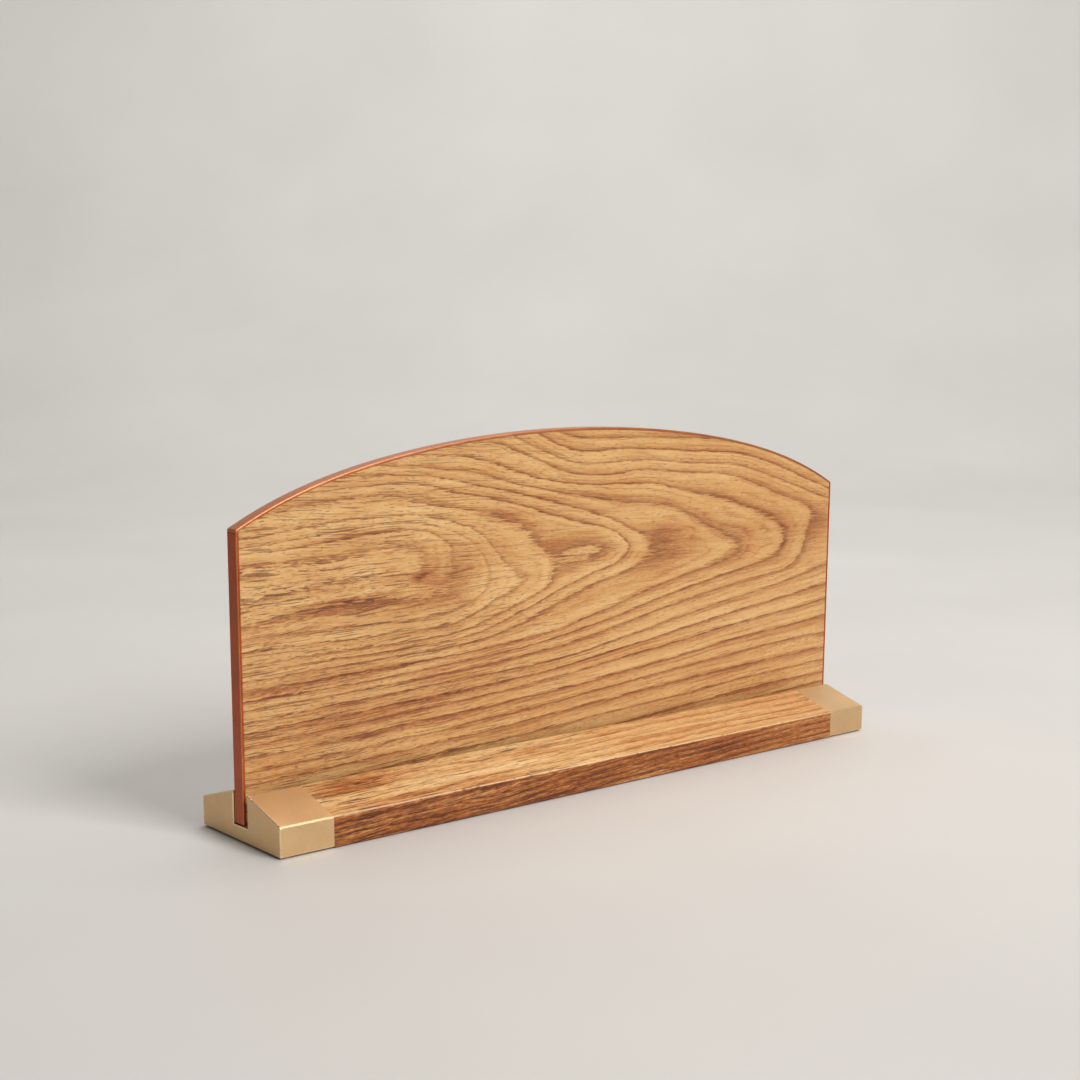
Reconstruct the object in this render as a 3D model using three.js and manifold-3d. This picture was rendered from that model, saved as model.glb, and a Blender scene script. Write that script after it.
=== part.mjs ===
// Desk name plate: a blank arched panel standing in a slotted base with two metal end caps.
// Millimetres, +Z up. X runs along the plate, -Y is the front, and the origin is on the table
// under the middle of the base.

import * as THREE from 'three';
import { mergeVertices } from 'three/addons/utils/BufferGeometryUtils.js';
import Module from 'manifold-3d';

const wasm = await Module();
wasm.setup();

// ---------- driving dimensions ----------

// base
const BASE_L = 300;          // over both end caps
const BASE_D = 52.4;         // front to back
const PAD_PROUD = 0.5;       // the base hangs this far above the table, on its pads
const FACE_H = 10.35;        // upright front and rear faces, below the arris chamfer
const EDGE_H = 10.8;         // where the face and the slope would meet without the chamfer
const EDGE_IN = 0.46;        // the chamfer's reach in along Y
const LIP_H = 17.4;          // top of the slope, at the slot
const SLOT_W = 9.54;
const SLOT_FLOOR = 5.4;      // above the base's underside
const CAP_L = 21.5;          // length of each end cap

// extruded profile
const WRAP_T = 0.4;          // wood-grain facing on the profile
const GLUE = 0.05;           // adhesive line under any facing or edging
const WALL = 1.6;            // profile walls
const BOTTOM_WALL = 2.0;
const PLUG_L = 14;           // how far an end cap's plugs reach into the profile
const PLUG_GAP = 0.25;

// end cap screws, M3 x 8 countersunk, driven from below
const SCREW_X_IN = 7;        // from the seam between cap and profile
const SCREW_Y = 15;
const SCREW_R = 1.45;
const SCREW_HEAD_R = 2.75;
const SCREW_LEN = 8;

// anti-slip pads
const PAD_R = 5.0;
const PAD_RECESS_R = 5.3;
const PAD_RECESS = 0.5;
const PAD_Y = 16.5;

// panel
const PANEL_X0 = -149.6;     // left end, just inside the left cap's end face
const PANEL_X1 = 152.0;      // right end, just proud of the right cap
const PANEL_T = 6.0;
const PANEL_BACK_GAP = 0.3;  // to the slot's rear wall
const PANEL_FOOT = 0.5;      // the packing strip's foot holds the panel off the slot floor
const SIDE_TOP = 109.1;      // height of the panel's two ends above the table
const APEX = 138.06;         // height of the arch above the table
const ARCH_4 = 0.033;        // the arch is flatter in the middle than a circle:
const ARCH_6 = 0.198;        // its drop is (1 - a4 - a6) u^2 + a4 u^4 + a6 u^6, u = -1 to 1
const ARCH_STEPS = 56;
const FACE_T = 0.4;          // wood-grain facing on each side of the panel
const BAND_T = 1.0;          // edging

// packing strip
const PACK_L = 270;
const PACK_TOP = 14.0;       // above the table

// ---------- materials ----------

const gold = () => new THREE.MeshStandardMaterial({ color: 0xcaa06c, roughness: 0.38, metalness: 1.0 });
const alu = () => new THREE.MeshStandardMaterial({ color: 0xb9bcc0, roughness: 0.4, metalness: 1.0 });
const grain = () => new THREE.MeshStandardMaterial({ color: 0xc18d57, roughness: 0.55, metalness: 0.0 });
const board = () => new THREE.MeshStandardMaterial({ color: 0x9c7a55, roughness: 0.85, metalness: 0.0 });
const copper = () => new THREE.MeshStandardMaterial({ color: 0x9a4f2e, roughness: 0.45, metalness: 0.0 });
const rubber = () => new THREE.MeshStandardMaterial({ color: 0x222222, roughness: 0.9, metalness: 0.0 });
const steel = () => new THREE.MeshStandardMaterial({ color: 0x9a9a9a, roughness: 0.35, metalness: 1.0 });

// ---------- helpers ----------

// An outline in (Y, Z) pushed along X from x0 to x1.
function alongX(outline, x0, x1, holes = []) {
  const shape = new THREE.Shape(outline.map(([y, z]) => new THREE.Vector2(y, z)));
  for (const h of holes) shape.holes.push(new THREE.Path(h.map(([y, z]) => new THREE.Vector2(y, z))));
  const g = new THREE.ExtrudeGeometry(shape, { depth: x1 - x0, bevelEnabled: false, steps: 1 });
  g.applyMatrix4(new THREE.Matrix4().makeBasis(
    new THREE.Vector3(0, 1, 0), new THREE.Vector3(0, 0, 1), new THREE.Vector3(1, 0, 0)));
  g.translate(x0, 0, 0);
  return g;
}

// An outline in (X, Z) pushed along Y from y0 (front) to y1 (back).
function alongY(outline, y0, y1) {
  const shape = new THREE.Shape(outline.map(([x, z]) => new THREE.Vector2(x, z)));
  const g = new THREE.ExtrudeGeometry(shape, { depth: y1 - y0, bevelEnabled: false, steps: 1 });
  g.applyMatrix4(new THREE.Matrix4().makeBasis(
    new THREE.Vector3(1, 0, 0), new THREE.Vector3(0, 0, 1), new THREE.Vector3(0, -1, 0)));
  g.translate(0, y1, 0);
  return g;
}

// A turned solid about the vertical line through (x, y); profile points are (radius, height).
function turned(profile, x, y, z, segments = 32) {
  const g = new THREE.LatheGeometry(profile.map(([r, h]) => new THREE.Vector2(r, h)), segments);
  g.rotateX(Math.PI / 2);
  g.translate(x, y, z);
  return g;
}

function toSolid(geometry) {
  let g = geometry.clone();
  for (const name of Object.keys(g.attributes)) if (name !== 'position') g.deleteAttribute(name);
  g = mergeVertices(g, 1e-4);
  const index = [];
  const src = g.index.array;
  for (let i = 0; i < src.length; i += 3) {
    const [a, b, c] = [src[i], src[i + 1], src[i + 2]];
    if (a !== b && b !== c && c !== a) index.push(a, b, c);
  }
  return new wasm.Manifold(new wasm.Mesh({
    numProp: 3,
    vertProperties: new Float32Array(g.attributes.position.array),
    triVerts: new Uint32Array(index),
  }));
}

function fromSolid(solid) {
  const m = solid.getMesh();
  const g = new THREE.BufferGeometry();
  g.setAttribute('position', new THREE.BufferAttribute(new Float32Array(m.vertProperties), 3));
  g.setIndex(new THREE.BufferAttribute(new Uint32Array(m.triVerts), 1));
  g.computeVertexNormals();
  return g;
}

// The open line pts moved by d towards its right-hand side, with mitred corners.
function offsetLine(pts, d) {
  const dirs = [];
  for (let i = 0; i < pts.length - 1; i++) {
    const dx = pts[i + 1][0] - pts[i][0], dy = pts[i + 1][1] - pts[i][1];
    const l = Math.hypot(dx, dy);
    dirs.push([dx / l, dy / l]);
  }
  return pts.map(([x, y], i) => {
    const a = dirs[Math.max(0, i - 1)], b = dirs[Math.min(dirs.length - 1, i)];
    const na = [a[1], -a[0]], nb = [b[1], -b[0]];
    const k = d / (1 + na[0] * nb[0] + na[1] * nb[1]);
    return [x + (na[0] + nb[0]) * k, y + (na[1] + nb[1]) * k];
  });
}

// Where a line meets the upright through x = at.
function heightAt(pts, at) {
  for (let i = 0; i < pts.length - 1; i++) {
    const [x0, y0] = pts[i], [x1, y1] = pts[i + 1];
    if ((x0 - at) * (x1 - at) <= 0 && x0 !== x1) return y0 + (y1 - y0) * (at - x0) / (x1 - x0);
  }
  const [[x0, y0], [x1, y1]] = at < pts[0][0] ? [pts[0], pts[1]] : [pts[pts.length - 2], pts[pts.length - 1]];
  return y0 + (y1 - y0) * (at - x0) / (x1 - x0);
}

const mirror = (pts) => pts.map(([y, z]) => [-y, z]).reverse();

const name_plate = new THREE.Group();
const base = new THREE.Group();
base.position.z = PAD_PROUD;
name_plate.add(base);
const panel = new THREE.Group();
name_plate.add(panel);

function add(group, name, geometry, material) {
  const mesh = new THREE.Mesh(geometry, material);
  mesh.name = name;
  group.add(mesh);
  return mesh;
}

// ---------- base section ----------

const yf = -BASE_D / 2;
const ys = -SLOT_W / 2;
const slope = (LIP_H - EDGE_H) / (ys - yf);
// front half of the outside, from the underside up to the slot
const outside = [
  [yf, 0],
  [yf, FACE_H],
  [yf + EDGE_IN, EDGE_H + slope * EDGE_IN],
  [ys, LIP_H],
];
// the same line, moved in by d and ended square at the underside and at the slot wall
function inside(d) {
  const p = offsetLine(outside, d);
  p[0][1] = 0;
  const dy = p[3][0] - p[2][0], dz = p[3][1] - p[2][1];
  p[3] = [ys, p[2][1] + dz * (ys - p[2][0]) / dy];
  return p;
}
const capSection = [...outside, [ys, SLOT_FLOOR], [-ys, SLOT_FLOOR], ...mirror(outside)].reverse();

const seam = BASE_L / 2 - CAP_L;

// ---------- extruded profile ----------

const skin = inside(WRAP_T + GLUE);
const profileSection = [...skin, [ys, SLOT_FLOOR], [-ys, SLOT_FLOOR], ...mirror(skin)].reverse();

// front chamber, and the same pulled in all round for the plug that enters it
function chamber(gap) {
  const roof = offsetLine([[yf, 0], [yf, EDGE_H], [ys, LIP_H]], WRAP_T + GLUE + WALL + gap).slice(1);
  const y1 = ys - WALL - gap, z0 = BOTTOM_WALL + gap;
  return [[roof[0][0], z0], [y1, z0], [y1, heightAt(roof, y1)], roof[0]];
}
const chamberFront = chamber(0);
const chamberRear = mirror(chamberFront);
const chamberMiddle = [[-4.4, 1.8], [4.4, 1.8], [4.4, 3.7], [-4.4, 3.7]];

let profile = toSolid(alongX(profileSection, -seam, seam, [chamberFront, chamberRear, chamberMiddle]));
const screwPlaces = [];
for (const [side, sx] of [['left', -1], ['right', 1]])
  for (const [end, sy] of [['front', -1], ['rear', 1]])
    screwPlaces.push({ side, end, x: sx * (seam - SCREW_X_IN), y: sy * SCREW_Y });
for (const s of screwPlaces) {
  const cut = [[0, -1], [2.95, -1], [2.95, 0.05], [1.65, 1.4], [1.65, 3.2], [0, 3.2]];
  profile = profile.subtract(toSolid(turned(cut, s.x, s.y, 0)));
}
add(base, 'base_profile', fromSolid(profile), alu());

// ---------- wood-grain facings of the base ----------

const facing = [...outside, ...inside(WRAP_T).reverse()].reverse();
add(base, 'grain_wrap_front', alongX(facing, -seam, seam), grain());
add(base, 'grain_wrap_rear', alongX(mirror(facing), -seam, seam), grain());

// ---------- end caps ----------

const plugFront = chamber(PLUG_GAP);
const plugRear = mirror(plugFront);
for (const [side, s] of [['left', -1], ['right', 1]]) {
  const [x0, x1] = s < 0 ? [-BASE_L / 2, -seam] : [seam, BASE_L / 2];
  let cap = toSolid(alongX(capSection, x0, x1));
  const [p0, p1] = s < 0 ? [-seam - 3, -seam + PLUG_L] : [seam - PLUG_L, seam + 3];
  for (const plug of [plugFront, plugRear]) cap = cap.add(toSolid(alongX(plug, p0, p1)));
  for (const q of screwPlaces.filter((q) => q.side === side))
    cap = cap.subtract(toSolid(turned([[0, 1], [1.5, 1], [1.5, 9.2], [0, 9.8]], q.x, q.y, 0)));
  for (const sy of [-1, 1])
    cap = cap.subtract(toSolid(turned([[0, -1], [PAD_RECESS_R, -1], [PAD_RECESS_R, PAD_RECESS], [0, PAD_RECESS]],
      s * (BASE_L / 2 - CAP_L / 2), sy * PAD_Y, 0, 40)));
  add(base, `end_cap_${side}`, fromSolid(cap), gold());
}

// ---------- screws: countersunk head with a hexagon socket ----------

for (const q of screwPlaces) {
  const body = [[0, 0], [SCREW_HEAD_R, 0], [SCREW_R, 1.35], [SCREW_R, SCREW_LEN - 0.5], [0.95, SCREW_LEN], [0, SCREW_LEN]];
  let screw = toSolid(turned(body, 0, 0, 0));
  screw = screw.subtract(toSolid(turned([[0, -1], [1.15, -1], [1.15, 1.1], [0, 1.1]], 0, 0, 0, 6)));
  const mesh = add(base, `cap_screw_${q.side}_${q.end}`, fromSolid(screw), steel());
  mesh.position.set(q.x, q.y, 0.15);
}

// ---------- anti-slip pads ----------

for (const [side, sx] of [['left', -1], ['right', 1]])
  for (const [end, sy] of [['front', -1], ['rear', 1]]) {
    const pad = turned([[0, -PAD_PROUD], [PAD_R - 0.2, -PAD_PROUD], [PAD_R, -PAD_PROUD + 0.2], [PAD_R, PAD_RECESS], [0, PAD_RECESS]], 0, 0, 0, 40);
    const mesh = add(base, `foot_pad_${side}_${end}`, fromSolid(toSolid(pad)), rubber());
    mesh.position.set(sx * (BASE_L / 2 - CAP_L / 2), sy * PAD_Y, 0);
  }

// ---------- packing strip ----------
// An L section: a thin foot that the panel stands on, and a ribbed leg between the panel's
// front face and the slot's front wall. It lies loose in the slot, set in from both ends.

const slotFloor = SLOT_FLOOR + PAD_PROUD;
const panelBack = SLOT_W / 2 - PANEL_BACK_GAP;
const panelFront = panelBack - PANEL_T;
const panelBottom = slotFloor + PANEL_FOOT;
{
  const front = ys + 0.12, face = panelFront - 0.15, rib = 0.7;
  const leg = [[front, slotFloor], [panelBack, slotFloor], [panelBack, panelBottom], [face, panelBottom]];
  const ribs = 3, z0 = panelBottom + 1.0, pitch = (PACK_TOP - z0) / ribs;
  for (let i = 0; i < ribs; i++) {
    const z = z0 + i * pitch;
    leg.push([face - rib, z], [face, z + pitch * 0.55], [face - rib, z + pitch * 0.98]);
  }
  leg.push([face - rib - 0.5, PACK_TOP + 0.25], [front, PACK_TOP + 0.25]);
  add(panel, 'packing_strip', fromSolid(toSolid(alongX(leg, -PACK_L / 2, PACK_L / 2))), rubber());
}

// ---------- panel ----------

const half = (PANEL_X1 - PANEL_X0) / 2, mid = (PANEL_X1 + PANEL_X0) / 2;
const arch = [];
for (let i = 0; i <= ARCH_STEPS; i++) {
  const u = -Math.cos((Math.PI * i) / ARCH_STEPS) * 0.35 + (-1 + (2 * i) / ARCH_STEPS) * 0.65;
  const drop = (1 - ARCH_4 - ARCH_6) * u ** 2 + ARCH_4 * u ** 4 + ARCH_6 * u ** 6;
  arch.push([mid + half * u, APEX - (APEX - SIDE_TOP) * drop]);
}
const under = offsetLine(arch, BAND_T);               // underside of the top edging
const board_top = offsetLine(arch, BAND_T + GLUE);    // top of the board and the side edgings

// the part of a line between two uprights, ended exactly on them
function between(pts, x0, x1) {
  const inner = pts.filter(([x]) => x > x0 + 1e-6 && x < x1 - 1e-6);
  return [[x0, heightAt(pts, x0)], ...inner, [x1, heightAt(pts, x1)]];
}

const topLine = between(under, PANEL_X0, PANEL_X1);
add(panel, 'edge_band_top', alongY([...topLine, ...arch.slice().reverse()], panelFront, panelBack), copper());

const sideBand = (x0, x1) => {
  const top = between(board_top, x0, x1);
  return [[x0, panelBottom], [x1, panelBottom], ...top.reverse()];
};
add(panel, 'edge_band_left', alongY(sideBand(PANEL_X0, PANEL_X0 + BAND_T), panelFront, panelBack), copper());
add(panel, 'edge_band_right', alongY(sideBand(PANEL_X1 - BAND_T, PANEL_X1), panelFront, panelBack), copper());

const bx0 = PANEL_X0 + BAND_T + GLUE, bx1 = PANEL_X1 - BAND_T - GLUE;
add(panel, 'edge_band_bottom', alongY([[bx0, panelBottom], [bx1, panelBottom], [bx1, panelBottom + BAND_T], [bx0, panelBottom + BAND_T]], panelFront, panelBack), copper());

const boardOutline = [[bx0, panelBottom + BAND_T + GLUE], [bx1, panelBottom + BAND_T + GLUE], ...between(board_top, bx0, bx1).reverse()];
add(panel, 'panel_face_front', alongY(boardOutline, panelFront, panelFront + FACE_T), grain());
add(panel, 'panel_core', alongY(boardOutline, panelFront + FACE_T, panelBack - FACE_T), board());
add(panel, 'panel_face_rear', alongY(boardOutline, panelBack - FACE_T, panelBack), grain());

export default name_plate;
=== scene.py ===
import math

import bmesh
import bpy
import numpy as np
from mathutils import Matrix, Vector


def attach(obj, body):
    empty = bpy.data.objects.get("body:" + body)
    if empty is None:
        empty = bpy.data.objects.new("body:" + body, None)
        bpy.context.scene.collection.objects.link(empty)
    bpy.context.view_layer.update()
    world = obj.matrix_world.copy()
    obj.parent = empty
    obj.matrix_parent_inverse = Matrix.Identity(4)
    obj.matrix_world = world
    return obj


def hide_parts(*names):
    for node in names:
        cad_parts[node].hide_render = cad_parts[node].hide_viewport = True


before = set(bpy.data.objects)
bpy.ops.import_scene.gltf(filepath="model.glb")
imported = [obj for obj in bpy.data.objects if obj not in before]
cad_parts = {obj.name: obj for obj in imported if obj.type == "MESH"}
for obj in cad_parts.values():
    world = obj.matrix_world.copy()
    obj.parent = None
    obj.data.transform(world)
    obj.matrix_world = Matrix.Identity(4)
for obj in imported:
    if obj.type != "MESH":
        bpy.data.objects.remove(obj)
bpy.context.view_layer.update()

MM = 0.001

# ---------------------------------------------------------------- dimensions, mm, as in the CAD

LIFT = 0.5            # the base hangs this far above the table, on its pads
BASE_L, BASE_D, CAP_L = 300.0, 52.4, 21.5
FACE_H, EDGE_H, EDGE_IN, LIP_H = 10.35, 10.8, 0.46, 17.4
SLOT_W, SLOT_FLOOR = 9.54, 5.4
WRAP_T, GLUE, WALL, BOTTOM_WALL = 0.4, 0.05, 1.6, 2.0
PLUG_L, PLUG_GAP = 14.0, 0.25
SEAM = BASE_L / 2 - CAP_L
YF, YS = -BASE_D / 2, -SLOT_W / 2
SLOPE = (LIP_H - EDGE_H) / (YS - YF)

X0, X1 = -149.6, 152.0
SIDE_TOP, APEX, A4, A6 = 109.1, 138.06, 0.033, 0.198
Y_BACK = SLOT_W / 2 - 0.3
Y_FRONT = Y_BACK - 6.0
FOOT = SLOT_FLOOR + LIFT + 0.5
BAND_T, FACE_T = 1.0, 0.4

# ---------------------------------------------------------------- node helpers


def srgb(r, g, b):
    def one(c):
        c /= 255.0
        return c / 12.92 if c <= 0.04045 else ((c + 0.055) / 1.055) ** 2.4
    return (one(r), one(g), one(b), 1.0)


class Tree:
    """Short names for the shader nodes of one material."""

    def __init__(self, name):
        self.mat = bpy.data.materials.new(name)
        self.mat.use_nodes = True
        self.nt = self.mat.node_tree
        self.nt.nodes.clear()
        out = self.nt.nodes.new("ShaderNodeOutputMaterial")
        self.bsdf = self.nt.nodes.new("ShaderNodeBsdfPrincipled")
        self.nt.links.new(self.bsdf.outputs[0], out.inputs[0])

    def plug(self, socket, value):
        if isinstance(value, bpy.types.NodeSocket):
            self.nt.links.new(value, socket)
        else:
            socket.default_value = value

    def new(self, kind, **props):
        n = self.nt.nodes.new(kind)
        for k, v in props.items():
            setattr(n, k, v)
        return n

    def set(self, **inputs):
        for k, v in inputs.items():
            self.plug(self.bsdf.inputs[k.replace("_", " ")], v)

    def math(self, op, a, b=None, c=None, clamp=False):
        n = self.new("ShaderNodeMath", operation=op, use_clamp=clamp)
        for s, v in zip(n.inputs, (a, b, c)):
            if v is not None:
                self.plug(s, v)
        return n.outputs[0]

    def add(self, *terms):
        r = terms[0]
        for t in terms[1:]:
            r = self.math("ADD", r, t)
        return r

    def mul(self, *terms):
        r = terms[0]
        for t in terms[1:]:
            r = self.math("MULTIPLY", r, t)
        return r

    def off(self, noise, amount):
        """A noise moved to be about zero and scaled."""
        return self.math("MULTIPLY_ADD", noise, amount, -0.5 * amount)

    def attr(self, name):
        return self.new("ShaderNodeAttribute", attribute_name=name).outputs["Fac"]

    def object_mm(self):
        v = self.new("ShaderNodeVectorMath", operation="SCALE")
        self.nt.links.new(self.new("ShaderNodeTexCoord").outputs["Object"], v.inputs[0])
        v.inputs["Scale"].default_value = 1000.0
        s = self.new("ShaderNodeSeparateXYZ")
        self.nt.links.new(v.outputs[0], s.inputs[0])
        return v.outputs[0], s.outputs[0], s.outputs[1], s.outputs[2]

    def vec(self, x, y, z):
        n = self.new("ShaderNodeCombineXYZ")
        for s, v in zip(n.inputs, (x, y, z)):
            self.plug(s, v)
        return n.outputs[0]

    def noise(self, vector, scale=1.0, detail=2.0, rough=0.5, distortion=0.0):
        n = self.new("ShaderNodeTexNoise")
        self.plug(n.inputs["Vector"], vector)
        n.inputs["Scale"].default_value = scale
        n.inputs["Detail"].default_value = detail
        n.inputs["Roughness"].default_value = rough
        n.inputs["Distortion"].default_value = distortion
        return n.outputs["Fac"]

    def step(self, v, lo, hi, a=0.0, b=1.0):
        n = self.new("ShaderNodeMapRange", interpolation_type="SMOOTHSTEP")
        self.plug(n.inputs["Value"], v)
        self.plug(n.inputs["From Min"], lo)
        self.plug(n.inputs["From Max"], hi)
        self.plug(n.inputs["To Min"], a)
        self.plug(n.inputs["To Max"], b)
        return n.outputs[0]

    def ramp(self, v, stops, interpolation="LINEAR"):
        n = self.new("ShaderNodeValToRGB")
        n.color_ramp.interpolation = interpolation
        e = n.color_ramp.elements
        while len(e) < len(stops):
            e.new(0.5)
        for el, (p, c) in zip(e, stops):
            el.position = p
            el.color = c if isinstance(c, tuple) else (c, c, c, 1.0)
        self.plug(n.inputs[0], v)
        return n.outputs[0]

    def mix(self, fac, a, b, blend="MIX"):
        n = self.new("ShaderNodeMix", data_type="RGBA", blend_type=blend)
        self.plug(n.inputs[0], fac)
        self.plug(n.inputs[6], a)
        self.plug(n.inputs[7], b)
        return n.outputs[2]

    def bump(self, height, distance_mm, strength=1.0):
        n = self.new("ShaderNodeBump")
        n.inputs["Strength"].default_value = strength
        n.inputs["Distance"].default_value = distance_mm * MM
        self.plug(n.inputs["Height"], height)
        self.plug(self.bsdf.inputs["Normal"], n.outputs[0])


# ---------------------------------------------------------------- materials


def wood(name, stops, dark, pit_colour, seed, brown=0.46, line=0.8, jag=(0.30, 0.34, 0.36), pores=0.665, pore_len=3.0,
         pore_w=0.24, fine=0.30, rough=0.46, bump=0.03, streaks=0.5):
    """Open-pored wood grain. The mesh carries ring (a number that rises by one at each growth ring), fib (the
    distance across the fibres, mm), ink (how strong the ring lines are), tone (how dark the wood is), pore (how many
    open pores show), rag (how ragged the figure is) and worn_and_highlight (a cream line painted on the arris: partly
    rubbed wear, partly a painted highlight)."""
    t = Tree(name)
    _, x, _, _ = t.object_mm()
    ring, fib, ink, tone, pore, rag, worn_and_highlight = (t.attr(n) for n in ("ring", "fib", "ink", "tone", "pore", "rag", "worn_and_highlight"))

    def raw(lx, lf, k, f, detail=2.0, r=0.5):
        return t.noise(t.vec(t.mul(x, 1.0 / lx), t.mul(f, 1.0 / lf), seed + k), detail=detail, rough=r)

    f = t.add(fib, t.off(raw(30, 8, 0.3, fib, 1.0), 2.4))
    dash = raw(4.6, 0.42, 1.7, f, 2.0)
    run = raw(17.0, 1.0, 3.1, f, 2.0)
    wide = raw(46.0, 6.5, 4.9, f, 2.0)
    r = t.add(ring, t.mul(t.off(dash, jag[0]), t.math("MULTIPLY_ADD", rag, 1.6, 0.5)),
              t.mul(t.add(t.off(run, jag[1]), t.off(wide, jag[2])), t.math("MULTIPLY_ADD", rag, 1.1, 0.8)))
    frac = t.math("FRACT", r)
    band = t.ramp(frac, [(0.0, 1.0), (0.10, 0.80), (0.24, 0.52), (0.46, 0.26), (0.68, 0.08), (0.80, 0.04), (0.91, 0.30), (1.0, 0.95)])
    hair = t.ramp(frac, [(0.0, 1.0), (0.06, 0.7), (0.17, 0.0), (0.94, 0.0), (1.0, 0.85)])
    # each ring has its own strength
    own = t.new("ShaderNodeTexWhiteNoise", noise_dimensions="1D")
    t.plug(own.inputs["W"], t.math("ADD", t.math("FLOOR", r), seed))
    own = own.outputs["Value"]

    # thinner lines between the rings, here and there
    frac2 = t.math("FRACT", t.add(t.mul(r, 2.62), t.off(wide, 0.9)))
    between = t.mul(t.ramp(frac2, [(0.0, 1.0), (0.14, 0.45), (0.34, 0.0), (0.84, 0.0), (1.0, 0.95)]),
                    t.step(raw(58.0, 5.0, 23.9, f, 2.0), 0.40, 0.62), t.math("MULTIPLY_ADD", ink, 0.6, 0.4))

    s_long = raw(70.0, 2.6, 6.3, f, 3.0, 0.55)
    s_mid = raw(22.0, 0.62, 7.7, f, 3.0, 0.6)
    s_fine = raw(6.5, 0.24, 9.1, f, 2.0, 0.6)
    s_line = raw(15.0, 0.46, 17.3, f, 1.0)
    blotch = t.noise(t.vec(t.mul(x, 1 / 30.0), t.mul(f, 1 / 10.0), seed + 12.0), detail=2.0)
    loud = t.math("MULTIPLY_ADD", rag, 0.80, 0.60)
    depth = t.add(
        t.mul(band, brown, t.math("MULTIPLY_ADD", own, 0.8, 0.5), t.math("MULTIPLY_ADD", ink, 0.7, 0.3), t.math("MULTIPLY_ADD", rag, -0.35, 1.0)),
        t.mul(tone, t.math("MULTIPLY_ADD", raw(2.8, 0.5, 27.1, f, 3.0, 0.6), 1.3, 0.35)), t.mul(between, brown, 0.62),
        t.mul(t.add(t.off(s_long, 0.42), t.off(s_mid, fine), t.off(s_fine, fine * 0.9)), loud), t.off(blotch, 0.34),
    )
    colour = t.ramp(depth, stops)

    # long fine lines along the fibres
    near = t.ramp(frac, [(0.0, 1.0), (0.25, 0.5), (0.5, 0.0), (0.88, 0.1), (1.0, 0.8)])
    long_line = t.mul(t.step(t.add(s_line, t.mul(near, ink, 0.05)), 0.59, 0.68), t.math("MULTIPLY_ADD", rag, 0.6, 0.28), streaks)
    colour = t.mix(long_line, colour, dark)

    broken = t.step(t.add(dash, t.off(run, 0.6), t.off(s_fine, 0.4)), 0.40, 0.60)
    hair_mask = t.mul(hair, ink, t.math("MULTIPLY_ADD", broken, 0.80, 0.14), line)
    colour = t.mix(t.math("MINIMUM", hair_mask, 1.0), colour, dark)

    p = raw(pore_len, pore_w, 14.2, f, 1.0)
    limit = t.add(pores, t.mul(near, ink, -0.06), t.mul(pore, -0.05), t.off(blotch, 0.16))
    pit = t.step(p, limit, t.math("ADD", limit, 0.06))
    colour = t.mix(t.mul(pit, 0.62), colour, pit_colour)
    # a cream line on the arris, broken into patches: partly rubbed wear, partly a painted highlight of light catching
    # the arris
    nicks_and_highlight = t.mul(worn_and_highlight, t.step(raw(3.0, 2.0, 21.0, f, 2.0), 0.34, 0.44))
    colour = t.mix(t.mul(nicks_and_highlight, 0.72), colour, srgb(250, 226, 186))
    t.set(Base_Color=colour, IOR=1.48,
          Roughness=t.add(rough, t.mul(pit, 0.2), t.off(s_mid, 0.14), t.mul(nicks_and_highlight, -0.16)))
    height = t.add(t.mul(pit, -1.0), t.mul(hair_mask, -0.6), t.mul(s_fine, 0.5), t.mul(s_mid, 0.25))
    t.bump(height, bump)
    return t.mat


GOLDEN = [(0.0, srgb(240, 203, 146)), (0.2, srgb(228, 184, 124)), (0.42, srgb(209, 155, 96)),
          (0.66, srgb(180, 114, 64)), (0.86, srgb(142, 78, 42)), (1.0, srgb(102, 54, 32))]
HONEY = [(0.0, srgb(240, 205, 150)), (0.2, srgb(229, 185, 127)), (0.40, srgb(207, 150, 93)),
         (0.62, srgb(172, 100, 42)), (0.82, srgb(130, 64, 20)), (1.0, srgb(82, 38, 12))]
DARK = srgb(104, 58, 34)
PIT = srgb(116, 64, 46)


def satin_gold(name, colour, rough, grain):
    """Bead-blasted, anodised metal: a fine even sparkle, and slow variation from handling."""
    t = Tree(name)
    v, x, y, z = t.object_mm()
    blast = t.noise(v, 5.2, 3.0, 0.65)
    slow = t.noise(v, 0.09, 2.0, 0.5)
    mid = t.noise(v, 1.1, 2.0, 0.5)
    tint = t.ramp(t.add(blast, t.off(slow, 0.5), t.off(mid, 0.2)),
                  [(0.25, tuple(c * 0.86 for c in colour[:3]) + (1.0,)), (0.75, tuple(min(1.0, c * 1.08) for c in colour[:3]) + (1.0,))])
    t.set(Base_Color=tint, Metallic=0.94, IOR=1.5, Roughness=t.add(rough, t.off(blast, 0.12), t.off(slow, 0.10)))
    t.bump(t.add(blast, t.mul(mid, 0.4)), grain)
    return t.mat


def bright_cut(name, colour):
    """The diamond-cut arris of an anodised part: fine tool marks along it, and small nicks."""
    t = Tree(name)
    v, x, y, z = t.object_mm()
    marks = t.noise(t.vec(t.mul(x, 0.6), t.mul(y, 6.0), t.mul(z, 6.0)), 1.0, 3.0)
    nick = t.step(t.noise(v, 0.9, 2.0), 0.62, 0.7)
    tint = t.mix(nick, colour, tuple(c * 0.62 for c in colour[:3]) + (1.0,))
    t.set(Base_Color=tint, Metallic=1.0, Roughness=t.add(0.24, t.off(marks, 0.14), t.mul(nick, 0.2)))
    t.bump(t.add(marks, t.mul(nick, -1.0)), 0.01)
    return t.mat


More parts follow.
